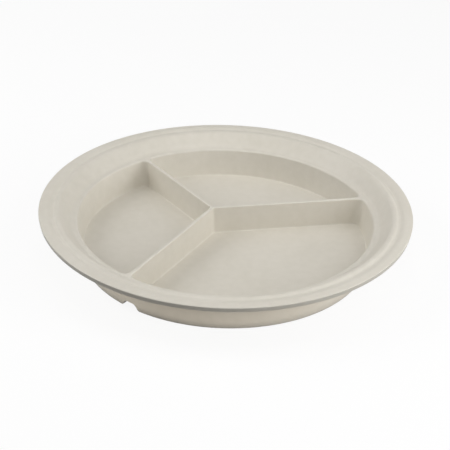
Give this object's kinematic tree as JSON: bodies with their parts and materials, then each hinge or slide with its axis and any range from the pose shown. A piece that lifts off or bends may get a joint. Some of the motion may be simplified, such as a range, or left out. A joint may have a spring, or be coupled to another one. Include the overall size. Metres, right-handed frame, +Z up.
{
  "type": "divided compartment plate",
  "caption": "Round moulded plastic plate with a raised rim and a well split by dividers into a large and two smaller food compartments, on a notched foot ring.",
  "frame": {"origin": "on the plate's axis, at the table that the foot rests on", "axes": "+Z up along the plate's axis, +Y along the short divider towards the rim, +X to the right seen from the large compartment's side"},
  "size_m": [0.2286, 0.2286, 0.031],
  "materials": {
    "moulded_plastic": "satin, evenly moulded, warm light grey"
  },
  "bodies": {
    "root": {"rim_edge": "moulded_plastic", "rim_flange": "moulded_plastic", "well_wall": "moulded_plastic", "floor_panel": "moulded_plastic", "divider_short": "moulded_plastic", "divider_long_left": "moulded_plastic", "divider_long_right": "moulded_plastic", "divider_hub": "moulded_plastic", "foot_front": "moulded_plastic", "foot_left": "moulded_plastic", "foot_right": "moulded_plastic"}
  },
  "joints": []
}
